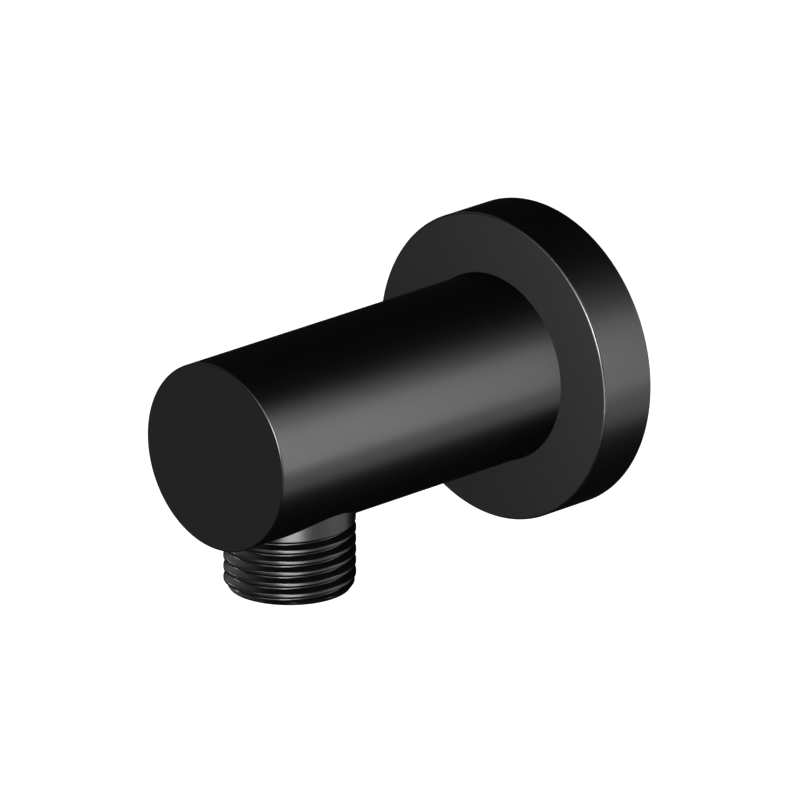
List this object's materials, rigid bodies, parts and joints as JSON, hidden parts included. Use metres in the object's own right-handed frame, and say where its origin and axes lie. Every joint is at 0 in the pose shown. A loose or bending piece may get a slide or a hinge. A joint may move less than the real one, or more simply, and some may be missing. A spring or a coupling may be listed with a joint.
{
  "type": "wall outlet elbow",
  "caption": "Round wall outlet elbow for a shower hose: cylindrical body with closed front, sliding wall flange, male outlet pointing down with a check valve, and a threaded wall connector",
  "frame": {"origin": "where the body's axis meets the finished wall, which is the plane of the flange's back", "axes": "+Y into the wall along the inlet thread, -Y out of the wall to the closed front, -Z down along the outlet, X across"},
  "size_m": [0.05, 0.0838, 0.05],
  "materials": {
    "black_finish": "satin black on brass",
    "brass": "turned",
    "screw_steel": "stainless",
    "spring_steel": "bright wire",
    "seal_rubber": "smooth",
    "foam_rubber": "closed cell foam",
    "valve_plastic": "moulded, natural white",
    "cage_plastic": "moulded, blue"
  },
  "bodies": {
    "fitting": {"elbow_body": "black_finish", "outlet_nipple": "black_finish", "wall_connector": "brass", "grub_screw": "screw_steel", "spigot_seal_front": "seal_rubber", "spigot_seal_rear": "seal_rubber", "outlet_seal": "seal_rubber", "check_valve_housing": "valve_plastic", "check_valve_cage": "cage_plastic", "check_valve_outer_seal": "seal_rubber", "check_valve_spring": "spring_steel"},
    "flange": {"wall_flange": "black_finish", "flange_grip_ring": "seal_rubber", "wall_gasket": "foam_rubber"},
    "valve_plug": {"check_valve_plug": "valve_plastic", "check_valve_lip_seal": "seal_rubber"}
  },
  "joints": [
    {"name": "flange_slide", "type": "slide", "parent": "fitting", "child": "flange", "axis": [0, -1, 0], "range_m": [0, 0.03]},
    {"name": "valve_opening", "type": "slide", "parent": "fitting", "child": "valve_plug", "axis": [0, 0, -1], "range_m": [0, 0.002], "stiffness_N_per_m": 60, "springref_m": -0.0025, "deforming": ["check_valve_spring"]}
  ]
}
